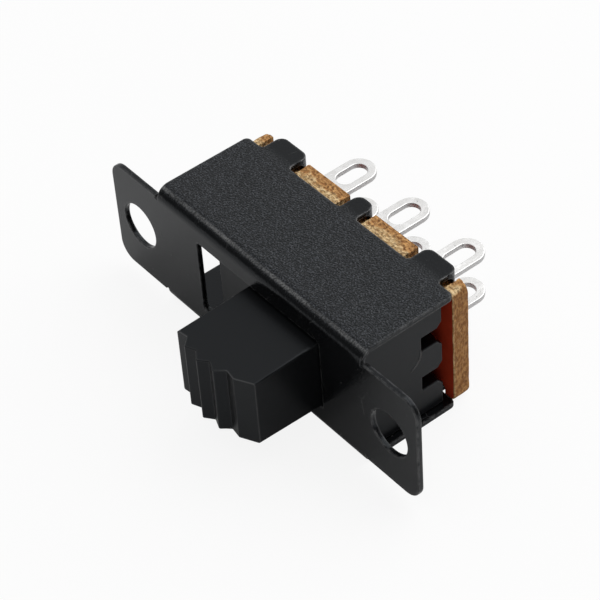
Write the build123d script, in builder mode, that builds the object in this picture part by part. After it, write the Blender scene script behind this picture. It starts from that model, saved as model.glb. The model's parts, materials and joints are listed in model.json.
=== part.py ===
"""Slide switch: a folded steel frame, a sliding knob, a laminate base and six solder terminals.

Millimetres. The origin is the centre of the mounting plate's front face, +X runs along the
plate, -Y points out of the panel towards the knob, +Y towards the terminals and +Z is up.
"""
import os
from math import atan2, cos, degrees, radians, sin

from build123d import *

# Overall sizes
plate_length = 23.0
body_length = 15.3
body_height = 7.4
body_depth = 7.0
cut_overrun = 1.0

# Frame sheet and its bends
sheet = 0.3
bend_radius = 0.72
tab_bend_radius = 0.4
wall_corner_radius = 0.3

# Mounting ears
screw_inset = 2.0
screw_hole = 2.5
ear_corner_radius = 0.95
relief_width = 0.15
relief_depth = 0.17

# Crimping tabs along the rear of each wall
tab_inset = 1.15
end_tab_width = 2.1
middle_tab_width = 1.2
tab_reach = 0.95
tab_corner_radius = 0.3
tab_root_radius = 0.2
tab_shoulder_radius = 0.45

# Base board
board_thickness = 1.0
board_inset = 0.05
board_corner_radius = 0.45
notch_corner_radius = 0.15
tab_side_gap = 0.3
tab_floor_gap = 0.05

# Knob
knob_width = 5.2
knob_projection = 4.7
knob_root_height = 4.2
knob_tip_height = 3.9
knob_edge_radius = 0.1
knob_arch_radius = 4.5
knob_side_reach = 3.7
ridge_count = 5
ridge_pitch = 1.1
ridge_depth = 0.35
ridge_tip_radius = 0.1
ridge_root_radius = 0.08
travel = 3.9
slot_gap = 0.08
slot_end_gap = 0.05
slot_corner_radius = 0.15

# Slider behind the plate
slider_length = 10.6
slider_gap = 0.05
slider_rear_gap = 0.45
channel_depth = 1.27
channel_height = 0.86
channel_chamfer = 0.3
pocket_length = 6.2
pocket_height = 1.5
pocket_wall = 0.9

# Terminals
terminal_pitch = 4.0
row_spacing = 2.6
strip_thickness = 0.3
lug_width = 1.8
lug_reach = 3.9
eye_width = 0.95
eye_length = 1.8
eye_rim = 0.45
blade_width = 1.7
blade_gap = 0.08
blade_corner_radius = 0.3
shoulder_width = 2.2
shoulder_depth = 0.35
stake_width = 2.1
stake_length = 0.4
board_slot_gap = 0.03

# Contact clips
clip_thickness = 0.2
clip_length = 6.0
clip_slit = 1.4
clip_bend_radius = 0.3
clip_side_gap = 0.05
clip_blade_gap = 0.03
clip_knee = 0.9
clip_lip = 0.45
clip_flare = 0.18

# Places worked out from the sizes above
board_rear = body_depth - sheet
wall_rear = board_rear - board_thickness
inner_height = body_height - 2 * sheet
flat_height = body_height - 2 * bend_radius
ear_height = flat_height + 2 * relief_depth
ear_length = (plate_length - body_length) / 2
screw_pitch = plate_length - 2 * screw_inset
tab_spacing = (body_length - end_tab_width) / 2 - tab_inset
board_length = body_length - 2 * board_inset
board_height = body_height - 2 * board_inset
slot_length = knob_width + travel + 2 * slot_end_gap
slot_height = knob_root_height + 2 * slot_gap
rest_shift = travel / 2
slider_front = sheet + slider_gap
slider_rear = wall_rear - slider_rear_gap
slider_height = inner_height - 2 * slider_gap
slider_corner_radius = bend_radius - sheet
channel_floor = slider_rear - channel_depth
pocket_floor = slider_front + pocket_wall
pocket_depth = slider_rear - pocket_floor
blade_tip = channel_floor + blade_gap
lug_tip = board_rear + lug_reach
notch_floor = inner_height / 2 - tab_bend_radius - tab_floor_gap
tabs = ((-tab_spacing, end_tab_width), (0, middle_tab_width), (tab_spacing, end_tab_width))
rows = {"upper": row_spacing / 2, "lower": -row_spacing / 2}
columns = {"left": -terminal_pitch, "centre": 0, "right": terminal_pitch}

os.makedirs("parts", exist_ok=True)


def near(value, target):
    """True where two places agree to within a thousandth of the sheet."""
    return abs(value - target) < sheet / 1000


# Frame: one sheet folded into a channel, with ears, a slot for the knob and tabs at the rear
with BuildPart() as frame_shell:
    with BuildSketch(Plane.YZ) as channel:
        with Locations((wall_rear / 2, 0)):
            Rectangle(wall_rear, body_height)
        fillet(channel.vertices().group_by(Axis.X)[0], bend_radius)
        with BuildSketch(mode=Mode.SUBTRACT) as hollow:
            with Locations((sheet + wall_rear / 2, 0)):
                Rectangle(wall_rear, inner_height)
            fillet(hollow.vertices().group_by(Axis.X)[0], bend_radius - sheet)
    extrude(amount=body_length / 2, both=True)

    # Small reliefs at the roots of the ears let the folds end cleanly
    with BuildSketch(Plane.XZ) as ears:
        with GridLocations(body_length + ear_length, 0, 2, 1):
            Rectangle(ear_length, ear_height)
        ear_ends = ears.vertices().group_by(Axis.X)
        fillet(ear_ends[0] + ear_ends[-1], ear_corner_radius)
        with GridLocations(body_length + relief_width, flat_height + relief_depth, 2, 2):
            Rectangle(relief_width, relief_depth, mode=Mode.SUBTRACT)
    extrude(amount=-sheet)

    with BuildSketch(Plane.XZ):
        RectangleRounded(slot_length, slot_height, slot_corner_radius)
        with GridLocations(screw_pitch, 0, 2, 1):
            Circle(screw_hole / 2)
    extrude(amount=-bend_radius, mode=Mode.SUBTRACT)

    wall_ends = frame_shell.edges().filter_by(Axis.Z).group_by(Axis.Y)[-1]
    fillet(wall_ends, wall_corner_radius)

    # Each tab runs straight back past the board, then folds over its rear face
    for tab_x, tab_width in tabs:
        for side in (1, -1):
            with BuildSketch(Plane.YZ.offset(tab_x)) as tab:
                with BuildLine():
                    Polyline(
                        (wall_rear, side * body_height / 2),
                        (body_depth, side * body_height / 2),
                        (body_depth, side * (inner_height / 2 - tab_reach)),
                        (board_rear, side * (inner_height / 2 - tab_reach)),
                        (board_rear, side * inner_height / 2),
                        (wall_rear, side * inner_height / 2),
                        close=True,
                    )
                make_face()
                outside = tab.vertices().group_by(Axis.X)[-1].sort_by(Axis.Y)
                inside = tab.vertices().group_by(Axis.X)[1].sort_by(Axis.Y)
                far = -1 if side > 0 else 0
                fillet(inside[far], tab_bend_radius)
                fillet(outside[far], tab_bend_radius + sheet)
            extrude(amount=tab_width / 2, both=True)

    rear_edges = frame_shell.edges().filter_by(Axis.Z)
    rear_edges = rear_edges.filter_by(lambda edge: near(edge.center().Y, wall_rear))
    roots_end = tab_spacing + end_tab_width / 2 + tab_root_radius
    fillet(rear_edges.filter_by_position(Axis.X, -roots_end, roots_end), tab_root_radius)
    tab_corners = frame_shell.edges().filter_by(Axis.Y).filter_by(
        lambda edge: near(abs(edge.center().Z), inner_height / 2 - tab_reach)
    )
    fillet(tab_corners, tab_corner_radius)

    # The folded end of each tab is also rounded at both shoulders
    with BuildSketch(Plane.XY.offset(-body_height / 2)):
        for tab_x, tab_width in tabs:
            with Locations((tab_x, body_depth - tab_shoulder_radius / 2)):
                Rectangle(tab_width, tab_shoulder_radius)
            with Locations((tab_x, wall_rear)):
                RectangleRounded(
                    tab_width, 2 * (body_depth - wall_rear), tab_shoulder_radius, mode=Mode.SUBTRACT
                )
    extrude(amount=body_height, mode=Mode.SUBTRACT)
frame_shell.part.label = "frame_shell"
export_step(frame_shell.part, "parts/frame_shell.step")


# Base board: laminate that seats on the rear edges of both walls, notched for the tabs
with BuildPart() as base_board:
    with BuildSketch(Plane.XZ.offset(-wall_rear)) as outline:
        Rectangle(board_length, board_height)
        for tab_x, tab_width in tabs:
            with Locations((tab_x, board_height / 2), (tab_x, -board_height / 2)):
                Rectangle(tab_width + 2 * tab_side_gap, board_height - 2 * notch_floor, mode=Mode.SUBTRACT)
        by_length = outline.vertices().group_by(Axis.X)
        board_corners = by_length[0] + by_length[-1]
        notch_corners = [corner for group in by_length[1:-1] for corner in group]
        fillet(board_corners, board_corner_radius)
        fillet(notch_corners, notch_corner_radius)
        with GridLocations(terminal_pitch, row_spacing, len(columns), len(rows)):
            Rectangle(
                lug_width + 2 * board_slot_gap,
                strip_thickness + 2 * board_slot_gap,
                mode=Mode.SUBTRACT,
            )
    extrude(amount=-board_thickness)
base_board.part.label = "base_board"
export_step(base_board.part, "parts/base_board.step")


# Terminals: flat strips pushed through the board from the front and staked behind it
for row, row_z in rows.items():
    for column, column_x in columns.items():
        with BuildPart() as terminal:
            with BuildSketch(Plane((column_x, 0, row_z))) as strip:
                with BuildLine():
                    Polyline(
                        (0, blade_tip),
                        (blade_width / 2, blade_tip),
                        (blade_width / 2, wall_rear - shoulder_depth),
                        (shoulder_width / 2, wall_rear - shoulder_depth),
                        (shoulder_width / 2, wall_rear),
                        (lug_width / 2, wall_rear),
                        (lug_width / 2, board_rear),
                        (stake_width / 2, board_rear),
                        (lug_width / 2, board_rear + stake_length),
                        (lug_width / 2, lug_tip - lug_width / 2),
                    )
                    RadiusArc((lug_width / 2, lug_tip - lug_width / 2), (0, lug_tip), -lug_width / 2)
                    mirror(about=Plane.YZ)
                make_face()
                fillet(strip.vertices().group_by(Axis.Y)[0].sort_by(Axis.X)[0], blade_corner_radius)
                fillet(strip.vertices().group_by(Axis.Y)[0].sort_by(Axis.X)[-1], blade_corner_radius)
                with Locations((0, lug_tip - eye_rim - eye_length / 2)):
                    SlotOverall(eye_length, eye_width, rotation=90, mode=Mode.SUBTRACT)
            extrude(amount=strip_thickness / 2, both=True)
        terminal.part.label = f"terminal_{row}_{column}"
        export_step(terminal.part, f"parts/terminal_{row}_{column}.step")


# Slider and knob: one moulding, shown at the right-hand end of its travel
valley_radius = knob_arch_radius - ridge_depth
ridge_angle = degrees(ridge_pitch / knob_arch_radius)
first_tip_angle = -ridge_angle * (ridge_count - 1) / 2
flank_run = valley_radius * sin(radians(ridge_angle / 2))
flank_rise = knob_arch_radius - valley_radius * cos(radians(ridge_angle / 2))
tip_loss = ridge_tip_radius / sin(atan2(flank_run, flank_rise)) - ridge_tip_radius
arch_centre = knob_arch_radius - tip_loss - knob_projection
arch_middle = -knob_width / 2 - knob_arch_radius * sin(radians(first_tip_angle))


def on_arch(radius, angle):
    """Point on the knob's arched front, at an angle from the arch's middle."""
    return (arch_middle + radius * sin(radians(angle)), arch_centre - radius * cos(radians(angle)))


with BuildPart() as slider_knob:
    with BuildSketch(Plane.YZ.offset(rest_shift)) as section:
        with Locations(((slider_front + slider_rear) / 2, 0)):
            Rectangle(slider_rear - slider_front, slider_height)
        fillet(section.vertices().group_by(Axis.X)[0], slider_corner_radius)
        for row_z in rows.values():
            with BuildLine(mode=Mode.PRIVATE) as channel_side:
                Polyline(
                    (channel_floor, row_z),
                    (channel_floor, row_z + channel_height / 2),
                    (slider_rear - channel_chamfer, row_z + channel_height / 2),
                    (slider_rear, row_z + channel_height / 2 + channel_chamfer),
                    (slider_rear, row_z),
                )
                mirror(about=Plane.XZ.offset(-row_z))
            make_face(channel_side.edges(), mode=Mode.SUBTRACT)
    extrude(amount=slider_length / 2, both=True)

    # Pockets for the contact clips
    with BuildSketch(Plane.XZ.offset(-pocket_floor)):
        with Locations([(rest_shift, row_z) for row_z in rows.values()]):
            Rectangle(pocket_length, pocket_height)
    extrude(amount=-pocket_depth, mode=Mode.SUBTRACT)

    # Knob, a little lower at its tip than at its root
    with BuildSketch(Plane((rest_shift, slider_front, 0), x_dir=(1, 0, 0), z_dir=(0, -1, 0))):
        RectangleRounded(knob_width, knob_root_height, knob_edge_radius)
    with BuildSketch(Plane((rest_shift, -knob_projection, 0), x_dir=(1, 0, 0), z_dir=(0, -1, 0))):
        RectangleRounded(knob_width, knob_tip_height, knob_edge_radius)
    loft()

    # Arched front of pointed ridges: the first stands at the left side, the others have a small round
    ridge_points = []
    ridge_radii = []
    for ridge in range(ridge_count):
        tip_angle = first_tip_angle + ridge * ridge_angle
        ridge_points.append(on_arch(knob_arch_radius, tip_angle))
        ridge_points.append(on_arch(valley_radius, tip_angle + ridge_angle / 2))
        ridge_radii += [ridge_tip_radius, ridge_root_radius]
    ridge_points[-1] = (knob_width / 2, -knob_side_reach)
    first_tip = ridge_points[0]
    with BuildSketch(Plane((rest_shift, 0, 0))):
        with BuildLine():
            FilletPolyline(*ridge_points, radius=ridge_radii[1:-1])
            Polyline(
                (knob_width / 2, -knob_side_reach),
                (knob_width / 2 + cut_overrun, -knob_side_reach),
                (knob_width / 2 + cut_overrun, -knob_projection - cut_overrun),
                (-knob_width / 2 - cut_overrun, -knob_projection - cut_overrun),
                (-knob_width / 2 - cut_overrun, first_tip[1]),
                first_tip,
            )
        make_face()
    extrude(amount=knob_root_height, both=True, mode=Mode.SUBTRACT)
slider_knob.part.label = "slider_knob"
export_step(slider_knob.part, "parts/slider_knob.step")


# Contact clips: sprung U strips that grip two neighbouring blades in each row
clip_half_height = pocket_height / 2 - clip_side_gap
contact_y = slider_rear - clip_lip
contact_z = strip_thickness / 2 + clip_blade_gap
for row, row_z in rows.items():
    with BuildPart() as contact_clip:
        with BuildSketch(Plane((rest_shift, 0, row_z), x_dir=(0, 1, 0), z_dir=(1, 0, 0))):
            with BuildLine():
                FilletPolyline(
                    (slider_rear, contact_z + clip_flare),
                    (contact_y, contact_z),
                    (pocket_floor + clip_knee, clip_half_height - clip_thickness),
                    (pocket_floor + clip_thickness, clip_half_height - clip_thickness),
                    (pocket_floor + clip_thickness, clip_thickness - clip_half_height),
                    (pocket_floor + clip_knee, clip_thickness - clip_half_height),
                    (contact_y, -contact_z),
                    (slider_rear, -contact_z - clip_flare),
                    radius=clip_bend_radius,
                )
                offset(amount=clip_thickness, side=Side.RIGHT)
            make_face()
        extrude(amount=clip_length / 2, both=True)

        # The slit leaves a pair of fingers on each side of the blades
        with BuildSketch(Plane.XZ.offset(-pocket_floor - clip_knee)):
            with Locations((rest_shift, row_z)):
                Rectangle(clip_slit, pocket_height)
        extrude(amount=-pocket_depth, mode=Mode.SUBTRACT)
    contact_clip.part.label = f"contact_clip_{row}"
    export_step(contact_clip.part, f"parts/contact_clip_{row}.step")
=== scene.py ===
# %% [markdown]
# # A panel slide switch
# The switch is small: a painted steel frame 23 mm long, a black knob, a brown laminate base and six
# tinned solder lugs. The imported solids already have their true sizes, so this lesson rounds and
# roughens their edges as the real processes do, gives each surface its finish, and sets the switch in
# a small white studio, seen from the photograph's own angle.

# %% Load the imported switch
import json
import math

import bpy
from mathutils import Matrix, Vector


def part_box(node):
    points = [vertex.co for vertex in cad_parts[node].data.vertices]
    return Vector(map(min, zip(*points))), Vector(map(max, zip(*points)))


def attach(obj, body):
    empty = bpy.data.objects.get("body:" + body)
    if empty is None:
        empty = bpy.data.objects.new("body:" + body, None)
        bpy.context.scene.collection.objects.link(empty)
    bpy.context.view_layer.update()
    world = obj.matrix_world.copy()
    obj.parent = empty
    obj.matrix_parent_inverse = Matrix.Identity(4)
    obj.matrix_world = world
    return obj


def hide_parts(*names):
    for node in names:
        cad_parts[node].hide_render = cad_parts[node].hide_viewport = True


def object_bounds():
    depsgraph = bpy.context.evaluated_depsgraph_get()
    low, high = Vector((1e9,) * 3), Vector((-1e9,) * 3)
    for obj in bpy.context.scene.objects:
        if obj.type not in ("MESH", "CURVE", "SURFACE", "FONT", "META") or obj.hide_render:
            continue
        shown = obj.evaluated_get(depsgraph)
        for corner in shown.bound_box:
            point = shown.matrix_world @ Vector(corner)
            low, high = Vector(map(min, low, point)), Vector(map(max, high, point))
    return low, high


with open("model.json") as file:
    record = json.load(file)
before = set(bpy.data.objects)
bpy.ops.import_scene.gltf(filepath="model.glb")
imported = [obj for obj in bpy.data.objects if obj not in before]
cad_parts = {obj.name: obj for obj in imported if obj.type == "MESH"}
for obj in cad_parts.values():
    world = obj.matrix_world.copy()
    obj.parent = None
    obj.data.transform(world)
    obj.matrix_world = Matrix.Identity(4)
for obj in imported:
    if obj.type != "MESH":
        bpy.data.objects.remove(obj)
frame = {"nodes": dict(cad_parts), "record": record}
cad_low, cad_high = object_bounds()
MM = 0.001
print("nodes:", sorted(frame["nodes"]))

# %% [markdown]
# ## Camera
# A camera is a place, three axes and a focal length. The photograph was taken from the right and
# above with a long lens, leaning a little to one side. The axes are worked out from those angles,
# and the camera is then moved sideways until the switch sits in the frame as it does there.

# %% Camera at the photograph's angle
picture_pixels = 600
focal_pixels = 2476.5
camera_azimuth = math.radians(53.81)
camera_elevation = math.radians(44.07)
camera_roll = math.radians(-4.45)
camera_distance = 118.1 * MM
aim_right = 1.961 * MM
aim_up = 1.178 * MM

back = Vector((
    math.sin(camera_azimuth) * math.cos(camera_elevation),
    -math.cos(camera_azimuth) * math.cos(camera_elevation),
    math.sin(camera_elevation),
))
level_right = Vector((0, 0, 1)).cross(back).normalized()
level_up = back.cross(level_right)
right = level_right * math.cos(camera_roll) + level_up * math.sin(camera_roll)
up = level_up * math.cos(camera_roll) - level_right * math.sin(camera_roll)

camera_data = bpy.data.cameras.new("photo_camera")
camera = bpy.data.objects.new("photo_camera", camera_data)
bpy.context.scene.collection.objects.link(camera)
camera_data.lens = focal_pixels / picture_pixels * camera_data.sensor_width
camera_data.clip_start = 1 * MM
camera.matrix_world = Matrix((right, up, back)).transposed().to_4x4()
camera.location = right * aim_right + up * aim_up + back * camera_distance
bpy.context.scene.camera = camera
print("camera at", [round(value / MM, 1) for value in camera.location], "mm")

# %% [markdown]
# ## Working copies
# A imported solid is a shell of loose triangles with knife-sharp edges. Real sheet, plastic and tin
# have small rounds that catch the light. Each solid is copied, its triangles are merged back into
# whole faces, and the copy is worked on in its place. One unit is a millimetre while a copy is on the
# bench, because the modelling tools lose precision on lengths far below one unit.

# %% Copy a solid, and shape it with modifiers
merge_distance_mm = 0.0005
flat_angle = math.radians(0.5)
pieces = {}


def bench_copy(node_name, piece_name):
    """A merged copy of a solid, selected, with one unit to the millimetre."""
    mesh = frame["nodes"][node_name].data.copy()
    mesh.materials.clear()
    mesh.transform(Matrix.Scale(1 / MM, 4))
    piece = bpy.data.objects.new(piece_name, mesh)
    bpy.context.scene.collection.objects.link(piece)
    bpy.ops.object.select_all(action="DESELECT")
    bpy.context.view_layer.objects.active = piece
    piece.select_set(True)
    bpy.ops.mesh.customdata_custom_splitnormals_clear()
    bpy.ops.object.mode_set(mode="EDIT")
    bpy.ops.mesh.select_all(action="SELECT")
    bpy.ops.mesh.remove_doubles(threshold=merge_distance_mm)
    bpy.ops.mesh.dissolve_limited(angle_limit=flat_angle)
    bpy.ops.object.mode_set(mode="OBJECT")
    pieces[node_name] = piece
    return piece


def shape_with(piece, kind, **settings):
    """Adds a modifier to the piece on the bench and applies it."""
    modifier = piece.modifiers.new(kind.lower(), kind)
    for key, value in settings.items():
        setattr(modifier, key, value)
    bpy.ops.object.modifier_apply(modifier=modifier.name)


# %% [markdown]
# ## Rounded edges
# Three kinds of piece need rounded edges, so one function serves them all. It picks the edges that
# turn sharply, as a hand with a file would, and bevels them. A curved surface turns in small steps, so
# it is never picked.

# %% Round the sharp edges of a piece
def round_edges(piece, width_mm, segments, angle, skip=None):
    """Rounds the edges that turn by more than the angle, apart from a span of Y to skip."""
    bpy.ops.object.mode_set(mode="EDIT")
    bpy.ops.mesh.select_mode(type="EDGE")
    bpy.ops.mesh.select_all(action="DESELECT")
    bpy.ops.mesh.edges_select_sharp(sharpness=angle)
    bpy.ops.object.mode_set(mode="OBJECT")
    points = piece.data.vertices
    for edge in piece.data.edges:
        middle = sum(points[index].co.y for index in edge.vertices) / 2
        if skip and skip[0] < middle < skip[1]:
            edge.select = False
    bpy.ops.object.mode_set(mode="EDIT")
    bpy.ops.mesh.bevel(offset=width_mm, segments=segments, affect="EDGES", clamp_overlap=False)
    bpy.ops.object.mode_set(mode="OBJECT")
    bpy.ops.object.shade_smooth_by_angle(angle=angle)
    shape_with(piece, "WEIGHTED_NORMAL", keep_sharp=True)
    print(piece.name, "has", len(piece.data.polygons), "faces after rounding")


# %% [markdown]
# ## Frame
# The frame is one blanked and folded sheet. Blanking leaves sharp edges, and the paint rounds them off
# by about a fifth of the sheet's thickness. The folds are round already and stay as they are.

# %% Frame with rounded blanked edges
sharp_angle = math.radians(42)
frame_edge_mm = 0.06
painted_frame = bench_copy("frame_shell", "painted_frame")
round_edges(painted_frame, frame_edge_mm, segments=2, angle=sharp_angle)

# %% [markdown]
# ## Knob and slider
# The knob is moulded, so its edges are crisp but never quite sharp. Its sides come with small rounds of
# their own, on which a second round would fold over itself, so the span of Y that they take up is
# skipped. The rims of the ridges in front of it and the slider's edges behind it are softened.

# %% Knob with moulded edges
mould_angle = math.radians(60)
mould_edge_mm = 0.05
knob_sides_mm = (-4.25, 0.3)
moulded_knob = bench_copy("slider_knob", "moulded_knob")
round_edges(moulded_knob, mould_edge_mm, segments=2, angle=mould_angle, skip=knob_sides_mm)

# %% [markdown]
# ## Terminals
# Each terminal is stamped from brass strip and dipped in tin. The tin draws itself into a round rim
# along every edge. Bright metal shows every facet, so these rounds have one more step.

# %% Terminals with rounded tin rims
tin_edge_mm = 0.05
for node_name in sorted(frame["nodes"]):
    if node_name.startswith("terminal_"):
        terminal = bench_copy(node_name, "tinned_" + node_name)
        round_edges(terminal, tin_edge_mm, segments=3, angle=sharp_angle)

# %% [markdown]
# ## Base board
# The board is punched from pressed paper and resin. Its faces stay smooth, but the punch tears the
# fibres of its cut edges, and handling wears its two ends round. The copy is remeshed into small even
# faces, the cut edges are picked by their place and normal and pushed in and out by two scales of
# noise, and the ends are smoothed. Most of the push is inwards, so the board stays inside its true
# outline. The slots in its middle grip the terminals, so they are left clean.

# %% Board with torn edges
voxel_mm = 0.075
clean_middle_mm = (6.0, 2.0)
cut_normal_limit = 0.9
tears_mm = {"torn_layers": (0.5, 0.15), "torn_fibres": (0.14, 0.08)}
tear_middle = 0.85
end_zone_mm = 7.1
end_passes = 16
end_pull = 0.5
cut_edge, worn_end = "cut_edge", "worn_end"

board = bench_copy("base_board", "laminate_board")
shape_with(board, "REMESH", mode="VOXEL", voxel_size=voxel_mm)
torn_points = [
    vertex.index for vertex in board.data.vertices
    if abs(vertex.normal.y) < cut_normal_limit
    and (abs(vertex.co.x) > clean_middle_mm[0] or abs(vertex.co.z) > clean_middle_mm[1])
]
end_points = [vertex.index for vertex in board.data.vertices if abs(vertex.co.x) > end_zone_mm]
board.vertex_groups.new(name=cut_edge).add(torn_points, 1, "REPLACE")
board.vertex_groups.new(name=worn_end).add(end_points, 1, "REPLACE")
for texture_name, (size_mm, depth_mm) in tears_mm.items():
    tear = bpy.data.textures.new(texture_name, "CLOUDS")
    tear.noise_scale = size_mm
    shape_with(
        board, "DISPLACE", texture=tear, texture_coords="LOCAL", vertex_group=cut_edge,
        strength=depth_mm, mid_level=tear_middle,
    )
shape_with(board, "SMOOTH", factor=end_pull, iterations=end_passes, vertex_group=worn_end)
bpy.ops.object.shade_smooth_by_angle(angle=sharp_angle)
print("laminate_board has", len(board.data.polygons), "faces")

# %% [markdown]
# ## Shader sums
# A finish is a chain of nodes. Written out one by one the chain is long and hard to read, so a small
# class wraps a socket: adding or multiplying two of them adds the Math node that does it.

# %% Sockets that can be added and multiplied
class Wire:
    """One output socket of a finish, for use in sums."""

    def __init__(self, finish, socket):
        self.finish = finish
        self.socket = socket

    def math(self, operation, first, second=0):
        return self.finish.node("ShaderNodeMath", {"operation": operation}, {0: first, 1: second})

    def __add__(self, other):
        return self.math("ADD", self, other)

    def __mul__(self, other):
        return self.math("MULTIPLY", self, other)

    def __sub__(self, other):
        return self.math("SUBTRACT", self, other)

    def __rsub__(self, other):
        return self.math("SUBTRACT", other, self)

    def __abs__(self):
        return self.math("ABSOLUTE", self)

    __radd__ = __add__
    __rmul__ = __mul__


# %% [markdown]
# ## A finish in the making
# A second class holds the material or world that the sums belong to. One method makes any other node
# from its type, its settings and the values or links of its sockets, and one fills in the surface.

# %% Finish with one method for any node
class Finish:
    """A material or a world in the making, with one method that adds any node."""

    def __init__(self, block):
        block.use_nodes = True
        self.block = block
        self.tree = block.node_tree
        self.output = next(node for node in self.tree.nodes if node.type.startswith("OUTPUT"))
        self.shader = self.output.inputs["Surface"].links[0].from_node

    def fill(self, node, inputs):
        for key, value in inputs.items():
            if isinstance(value, Wire):
                self.tree.links.new(value.socket, node.inputs[key])
            else:
                node.inputs[key].default_value = value

    def node(self, kind, settings=None, inputs=None, output=0):
        made = self.tree.nodes.new(kind)
        for key, value in (settings or {}).items():
            setattr(made, key, value)
        self.fill(made, inputs or {})
        return Wire(self, made.outputs[output])

    def surface(self, **sockets):
        self.fill(self.shader, {key.replace("_", " "): value for key, value in sockets.items()})
        return self.block


# %% [markdown]
# ## Noise and thresholds
# Paint grain, mould texture and paper fibre are all noise at different scales, and fine scratches are
# bits of the seams between cells. A threshold thins noise out to specks, lines or streaks. The
# coordinates are the object's own, in metres, so a grain size in millimetres becomes a scale by one
# division.

# %% Places, grain, seams and thresholds
def place(finish, stretch=(1, 1, 1)):
    """Object coordinates, squeezed along an axis where a pattern is drawn out."""
    coordinates = finish.node("ShaderNodeTexCoord", output="Object")
    return finish.node("ShaderNodeMapping", inputs={"Vector": coordinates, "Scale": stretch})


def along(finish, source, axis):
    """One axis of the object's own place or normal."""
    vector = finish.node("ShaderNodeTexCoord", output=source)
    return finish.node("ShaderNodeSeparateXYZ", inputs={0: vector}, output=axis)


def grain(finish, size_mm, detail, stretch=(1, 1, 1)):
    """Noise from 0 to 1 whose blobs are about size_mm across."""
    return finish.node(
        "ShaderNodeTexNoise",
        inputs={"Vector": place(finish, stretch), "Scale": 1 / (size_mm * MM), "Detail": detail},
    )


def seams(finish, size_mm):
    """Distance, in millimetres, from the straight seams between cells about size_mm across."""
    cells = finish.node(
        "ShaderNodeTexVoronoi",
        {"feature": "DISTANCE_TO_EDGE"},
        {"Vector": place(finish), "Scale": 1 / (size_mm * MM)},
    )
    return cells * size_mm


def step(finish, value, low, high):
    """0 at low, 1 at high, smooth between and level beyond."""
    return finish.node(
        "ShaderNodeMapRange",
        {"interpolation_type": "SMOOTHSTEP"},
        {"Value": value, "From Min": low, "From Max": high},
    )


def step_mm(finish, length, limits_mm):
    """The same step on a length, between two limits in millimetres."""
    low_mm, high_mm = limits_mm
    return step(finish, length, low_mm * MM, high_mm * MM)


def spots(finish, size_mm, detail, low, high, stretch=(1, 1, 1)):
    """Grain thinned out to spots where it rises from low to high."""
    return step(finish, grain(finish, size_mm, detail, stretch), low, high)


# %% [markdown]
# ## Mixes, edges and bumps
# Wear shows first along edges, and painted highlights are laid along them too. The Bevel node gives the
# normal of a rounded edge, so the more it differs from the face's own normal, the nearer an edge is.

# %% Colours, mixes, edge masks and bumps
edge_turn = (0.006, 0.12)
edge_samples = 8


def grey(level):
    """A neutral colour."""
    return (level, level, level, 1)


def partly(mask, share):
    """A mask that takes away no more than its share."""
    return mask * share + (1 - share)


def blend(finish, factor, first, second):
    """Mix of two colours."""
    sockets = {0: factor, 6: first, 7: second}
    return finish.node("ShaderNodeMix", {"data_type": "RGBA"}, sockets, output=2)


def edges(finish, width_mm):
    """1 along sharp edges, 0 on open faces."""
    rounded = finish.node("ShaderNodeBevel", {"samples": edge_samples}, {"Radius": width_mm * MM})
    flat = finish.node("ShaderNodeNewGeometry", output="Normal")
    turn = {0: rounded, 1: flat}
    likeness = finish.node("ShaderNodeVectorMath", {"operation": "DOT_PRODUCT"}, turn, output="Value")
    return step(finish, 1 - likeness, *edge_turn)


def bump(finish, height, depth_mm):
    """Normal of a surface that rises and falls by depth_mm."""
    return finish.node("ShaderNodeBump", inputs={"Height": height, "Distance": depth_mm * MM})


# %% [markdown]
# ## Black paint on steel
# The frame is painted black. On the two walls the paint dried to a fine sandy grain with pale specks. On
# the plate it is smoother, with faint smudges, dust and hairline scratches. Short pale streaks across
# each fold are partly paint rubbed thin and partly a painted highlight, and so are pale patches along
# the blanked edges, where the edges catch the light. Crimping has chipped the paint off the edges
# around the tabs. First come the places and shades of all this.

# %% Places and shades of the frame paint
wall_starts_mm = (3.4, 3.55)
wall_fades_mm = (6.2, 5.2)
wall_normal = (0.6, 0.9)
fold_place_mm = 0.38
fold_fades_mm = (0.13, 0.03)
crimp_starts_mm = (4.9, 5.3)
scratch_cell_mm = 2.6
scratch_fades = (0.03, 0.01)
worn_and_highlit_edge_mm = 0.24
chipped_edge_mm = 0.1
sand_depth_mm = 0.07

paint_shades = (0.0022, 0.0024, 0.0028, 1), (0.0034, 0.0036, 0.004, 1)
speck_shade = (0.043, 0.046, 0.052, 1)
dust_shade = grey(0.06)
worn_and_highlight_shade = grey(0.14)
chipped_shade = grey(0.34)
fold_highlight_and_wear_shade = grey(0.2)
cool_sheen = (0.86, 0.93, 1, 1)
paint_roughness = {"plate": 0.14, "smudges": 0.1, "walls": 0.18}
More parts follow.
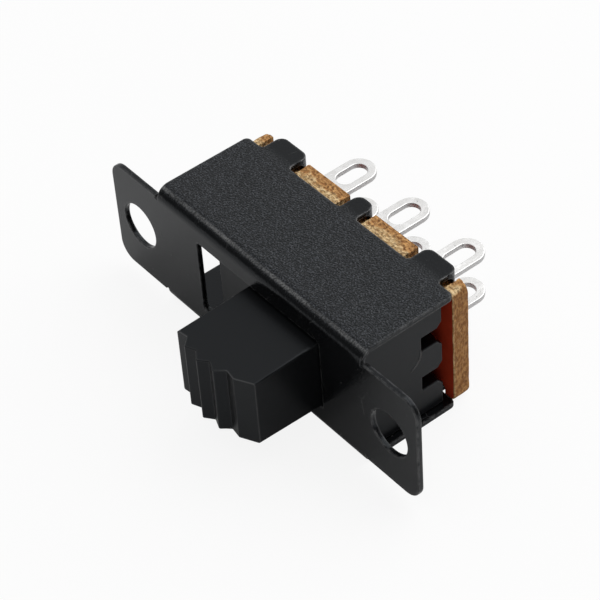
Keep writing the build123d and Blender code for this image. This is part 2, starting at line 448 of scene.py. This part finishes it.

# %% [markdown]
# Each flaw and each painted highlight is a mask made of place and noise, and the layers of colour go on
# one over the other, from the paint itself to the bare metal.

# %% Frame paint
def make_frame_paint():
    finish = Finish(bpy.data.materials.new("frame_paint"))
    depth = along(finish, "Object", "Y")
    outside = step_mm(finish, abs(along(finish, "Object", "Z")), wall_starts_mm)
    wall = step(finish, abs(along(finish, "Normal", "Z")), *wall_normal)
    wall = wall * outside * step_mm(finish, depth, wall_fades_mm)
    sand = grain(finish, size_mm=0.1, detail=1)
    smudge = grain(finish, size_mm=1.8, detail=3)
    speck = spots(finish, size_mm=0.08, detail=0, low=0.52, high=0.7) * wall
    dust = spots(finish, size_mm=0.16, detail=1, low=0.72, high=0.78)
    scratch = step(finish, seams(finish, scratch_cell_mm), *scratch_fades)
    scratch = scratch * spots(finish, size_mm=0.9, detail=1, low=0.54, high=0.66)
    fold = outside * step_mm(finish, abs(depth - fold_place_mm * MM), fold_fades_mm)
    streak = spots(finish, size_mm=0.07, detail=3, low=0.38, high=0.62, stretch=(1, 0.15, 1))
    patchy = spots(finish, size_mm=3, detail=2, low=0.3, high=0.6)
    # The fold streaks are partly rubbed paint and partly a painted highlight.
    highlight_and_marks = fold * partly(streak, 0.7) * partly(patchy, 0.7)
    # The pale edge patches are partly wear and partly a painted highlight where the edges catch the
    # light.
    worn_and_highlit_edges = edges(finish, worn_and_highlit_edge_mm) * spots(finish, size_mm=0.35, detail=2, low=0.28, high=0.64)
    crimped = step_mm(finish, depth, crimp_starts_mm)
    chipped = edges(finish, chipped_edge_mm) * crimped
    chipped = chipped * spots(finish, size_mm=0.4, detail=2, low=0.42, high=0.6)
    layers = (
        (speck, speck_shade),
        (dust + scratch * 0.35, dust_shade),
        (worn_and_highlit_edges * 0.7, worn_and_highlight_shade),
        (chipped, chipped_shade),
        (highlight_and_marks * 0.8, fold_highlight_and_wear_shade),
    )
    colour = blend(finish, smudge, *paint_shades)
    for cover, shade in layers:
        colour = blend(finish, cover, colour, shade)
    roughness = smudge * paint_roughness["smudges"] + paint_roughness["plate"]
    return finish.surface(
        Base_Color=colour,
        Roughness=roughness + wall * paint_roughness["walls"],
        Specular_IOR_Level=0.22,
        Specular_Tint=cool_sheen,
        Normal=bump(finish, sand * partly(wall, 0.86), sand_depth_mm),
    )


finishes = {"frame_paint": make_frame_paint()}
print("made frame_paint")

# %% [markdown]
# ## Black moulded plastic
# The knob and slider are one moulding with a fine, even matt texture from the tool. Its edges are
# painted a little paler, a painted highlight of the light their rims catch. On the slider's right end,
# the stub through which the plastic was fed left a curved lip. It is far too low to model, so it is a
# bump along part of a circle, and it is painted paler too, as a painted highlight.

# %% Knob plastic
gate_centre_mm = (3.05, 0.85)
gate_radius_mm = 0.87
gate_lip_mm = 0.1
gate_skin_mm = (0.04, 0.02)
gate_rear_mm = (0.2, 0.4)
gate_below_mm = (0.2, 0)
plastic_shades = (0.0016, 0.0017, 0.002, 1), (0.0024, 0.0025, 0.003, 1)
plastic_highlight_shade = grey(0.07)
plastic_edge_mm = 0.16
plastic_depth_mm = 0.06


def gate_mark(finish):
    """1 along the curved lip on the slider's right end."""
    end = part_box("slider_knob")[1].x
    centre = Vector((0, *gate_centre_mm)) * MM
    both = {0: place(finish, (0, 1, 1)), 1: centre}
    distance = finish.node("ShaderNodeVectorMath", {"operation": "DISTANCE"}, both, output="Value")
    lip = step_mm(finish, abs(distance - gate_radius_mm * MM), (gate_lip_mm, 0))
    on_end = step_mm(finish, end - along(finish, "Object", "X"), gate_skin_mm)
    rear = step_mm(finish, along(finish, "Object", "Y") - centre.y, gate_rear_mm)
    below = step_mm(finish, along(finish, "Object", "Z") - centre.z, gate_below_mm)
    return lip * on_end * rear * below


def make_knob_plastic():
    finish = Finish(bpy.data.materials.new("knob_plastic"))
    fine = grain(finish, size_mm=0.06, detail=2)
    broad = grain(finish, size_mm=1.6, detail=2)
    mark = gate_mark(finish)
    # Painted highlight: the rims and the gate lip are painted paler.
    highlight_and_marks = edges(finish, plastic_edge_mm) * 0.6 + mark * 0.9
    colour = blend(finish, broad, *plastic_shades)
    return finish.surface(
        Base_Color=blend(finish, highlight_and_marks, colour, plastic_highlight_shade),
        Roughness=fine * 0.1 + 0.26,
        Specular_IOR_Level=0.2,
        Specular_Tint=cool_sheen,
        Normal=bump(finish, fine * 0.05 + mark, plastic_depth_mm),
    )


finishes["knob_plastic"] = make_knob_plastic()
print("made knob_plastic")

# %% [markdown]
# ## Paper laminate
# The base is pressed from sheets of paper and resin. Its faces are smooth and dark red, and the rear
# one is painted darker and browner, a painted shade that tones down the strong lamp behind. Its punched
# edges are tan in front, where the punch sheared them, and darker brown behind, where they tore. Its
# two ends are painted an even, darker brown, a painted shade of the sides that get less light.

# %% Base board laminate
cream_shades = (0.5, 0.31, 0.13, 1), (0.85, 0.63, 0.35, 1)
brown_shades = (0.3, 0.115, 0.028, 1), (0.62, 0.305, 0.092, 1)
red_shades = (0.27, 0.025, 0.009, 1), (0.38, 0.036, 0.013, 1)
fleck_and_painted_shade = (0.09, 0.03, 0.006, 1)
rear_painted_shade = (0.1, 0.022, 0.01, 1)
face_normal = (0.93, 0.98)
edge_normal = (0.4, 0.8)
rear_normal = (0.5, 0.9)
end_fades_mm = (0.35, 0.6)
rim_fades_mm = (0.14, 0.05)
torn_span = (0.3, 0.6)
raggedness = 1.4
fibre_depth_mm = 0.05


def laminate_edge(finish, fibre):
    """Punched edges, tan to brown from front to rear, dark flecks, and the ends in painted shade."""
    low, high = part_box("base_board")
    depth = along(finish, "Object", "Y") - low.y
    inner = step_mm(finish, high.x - abs(along(finish, "Object", "X")), end_fades_mm)
    away_from_shaded_ends = step(finish, abs(along(finish, "Normal", "Z")) + inner, *edge_normal)
    share = depth * (1 / (high.y - low.y))
    torn = step(finish, share + (grain(finish, size_mm=0.5, detail=3) - 0.5) * raggedness, *torn_span)
    rim = step_mm(finish, depth, rim_fades_mm)
    cream = blend(finish, fibre, *cream_shades)
    brown = blend(finish, fibre, *brown_shades)
    # Painted shade: the two ends are mixed towards brown, darker than the top and bottom edges.
    colour = blend(finish, torn * away_from_shaded_ends * 0.85 + (1 - away_from_shaded_ends) * (0.92 - rim * 0.5), cream, brown)
    fleck = spots(finish, size_mm=0.17, detail=3, low=0.52, high=0.6)
    # Painted shade: the two ends also get more of the dark fleck colour.
    return blend(finish, fleck * (away_from_shaded_ends * 0.36 + 0.22) + (1 - away_from_shaded_ends) * 0.38, colour, fleck_and_painted_shade)


def laminate_face(finish):
    """Colour of the two faces, dark red, with a darker, browner painted shade at the rear."""
    colour = blend(finish, grain(finish, size_mm=0.5, detail=3), *red_shades)
    rear = step(finish, along(finish, "Normal", "Y"), *rear_normal)
    # Painted shade: the rear face is painted darker and browner.
    return blend(finish, rear * (grain(finish, size_mm=1.5, detail=4) * 0.5 + 0.3), colour, rear_painted_shade)


def make_board_laminate():
    finish = Finish(bpy.data.materials.new("board_laminate"))
    face = step(finish, abs(along(finish, "Normal", "Y")), *face_normal)
    fibre = spots(finish, size_mm=0.24, detail=4, low=0.34, high=0.66, stretch=(1, 1.7, 0.8))
    return finish.surface(
        Base_Color=blend(finish, face, laminate_edge(finish, fibre), laminate_face(finish)),
        Roughness=0.8 - face * 0.42,
        Specular_IOR_Level=0.3,
        Normal=bump(finish, fibre * (1 - face * 0.95), fibre_depth_mm),
    )


finishes["board_laminate"] = make_board_laminate()
print("made board_laminate")

# %% [markdown]
# ## Tinned brass and bare bronze
# The lugs are bright tin that has flowed a little unevenly and holds a few dark specks. The tin is
# rougher on their cut sides, whose colour is also painted darker, a painted shade. The contact clips are
# bare bronze. One function makes both, from their colours.

# %% Metals
metal_speck_shade = grey(0.15)
cut_normal = (0.75, 0.35)
flow_depth_mm = 0.03


def make_metal(name, light, dark, cut, roughness):
    finish = Finish(bpy.data.materials.new(name))
    flow = grain(finish, size_mm=0.7, detail=3)
    speck = spots(finish, size_mm=0.16, detail=2, low=0.66, high=0.74)
    cut_side = step(finish, abs(along(finish, "Normal", "Z")), *cut_normal)
    colour = blend(finish, flow, dark, light)
    # Painted shade: the cut sides are painted darker than the tops.
    colour = blend(finish, cut_side * 0.8, colour, cut)
    return finish.surface(
        Base_Color=blend(finish, speck * 0.6, colour, metal_speck_shade),
        Metallic=1,
        Roughness=flow * 0.2 + roughness + cut_side * 0.3,
        Normal=bump(finish, flow, flow_depth_mm),
    )


finishes["terminal_tin"] = make_metal(
    "terminal_tin", light=grey(0.92), dark=(0.72, 0.71, 0.69, 1), cut=grey(0.55), roughness=0.16,
)
finishes["clip_bronze"] = make_metal(
    "clip_bronze", light=(0.75, 0.45, 0.22, 1), dark=(0.6, 0.33, 0.14, 1), cut=(0.42, 0.22, 0.09, 1),
    roughness=0.28,
)
print("made terminal_tin and clip_bronze")

# %% [markdown]
# ## Dressing
# The record names a material slot for each node. A reworked copy leaves the bench, back in metres,
# takes the place of its solid and rides on the same body. The two clips are hidden inside, so their
# solids are only given their finish.

# %% Dress every piece
record = frame["record"]
body_of_node = {node: body for body, nodes in record["behaviour"]["bodies"].items() for node in nodes}
for subpart in record["subparts"]:
    node_name, slot_name = subpart["node"], subpart["material_slot"]
    piece = pieces.get(node_name, frame["nodes"][node_name])
    piece.data.materials.clear()
    piece.data.materials.append(finishes[slot_name])
    if node_name in pieces:
        piece.data.transform(Matrix.Scale(MM, 4))
        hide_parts(node_name)
        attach(piece, body_of_node[node_name])
print("dressed:", sorted(piece.name for piece in pieces.values()))

# %% [markdown]
# ## Studio floor
# The switch lies on a pale floor that fades into a white room. A floor bright enough to look white
# would also light the switch from below, so it only shows itself as white to the camera and to rays
# that pass through something, and hardly at all in reflections.

# %% Floor
floor_size = 1.5
floor_colour = 0.9
glow_shares = {"Is Camera Ray": 0.88, "Is Glossy Ray": 0.02, "Is Transmission Ray": 0.88}


def glow_share(finish):
    """How white the studio shows itself to each kind of ray."""
    return sum(
        finish.node("ShaderNodeLightPath", output=ray) * share for ray, share in glow_shares.items()
    )


def make_floor_finish():
    finish = Finish(bpy.data.materials.new("studio_floor"))
    finish.surface(Base_Color=grey(floor_colour), Roughness=0.9, Specular_IOR_Level=0.1)
    glow = finish.node("ShaderNodeEmission", inputs={"Color": grey(1)})
    painted = Wire(finish, finish.shader.outputs[0])
    mixed = finish.node("ShaderNodeMixShader", inputs={0: glow_share(finish), 1: painted, 2: glow})
    finish.fill(finish.output, {"Surface": mixed})
    return finish.block


bpy.ops.object.select_all(action="DESELECT")
bpy.ops.mesh.primitive_plane_add(size=floor_size, location=(0, 0, cad_low.z))
floor = bpy.context.active_object
floor.name = "studio_floor"
floor.data.materials.append(make_floor_finish())
print("floor at", round(cad_low.z / MM, 2), "mm")

# %% [markdown]
# ## Light
# One large soft lamp stands behind and above the switch, a small weak one at its front right, and the
# room has a white ceiling and dim walls. The dim walls are what draws the dark line along each fold
# and the grey sides of the lugs.

# %% Lamps and room
wall_level = 0.15
ceiling_level = 0.85
ceiling_edge = (0.0, 0.75)
ceiling_lean = (-0.45, 0.45, 0.77)


def soft_lamp(name, place_mm, size_mm, power):
    """A square lamp that faces the switch."""
    data = bpy.data.lights.new(name, "AREA")
    data.size = size_mm * MM
    data.energy = power
    lamp = bpy.data.objects.new(name, data)
    bpy.context.scene.collection.objects.link(lamp)
    lamp.location = Vector(place_mm) * MM
    lamp.rotation_euler = (-lamp.location).to_track_quat("-Z", "Y").to_euler()


def make_room():
    finish = Finish(bpy.data.worlds.new("white_room"))
    ray = finish.node("ShaderNodeTexCoord", output="Generated")
    lean = {0: ray, 1: ceiling_lean}
    height = finish.node("ShaderNodeVectorMath", {"operation": "DOT_PRODUCT"}, lean, output="Value")
    ceiling = step(finish, height, *ceiling_edge)
    room = blend(finish, ceiling, grey(wall_level), grey(ceiling_level))
    return finish.surface(Color=blend(finish, glow_share(finish), room, grey(1)))


soft_lamp("rear_softbox", place_mm=(20, 200, 200), size_mm=300, power=0.42)
soft_lamp("front_card", place_mm=(215, -130, 40), size_mm=120, power=0.13)
bpy.context.scene.world = make_room()
bpy.context.scene.view_settings.view_transform = "Standard"
print("lamps and room are set")

# %% Finish
print("cad box mm:", [round(value / MM, 2) for value in cad_high - cad_low])
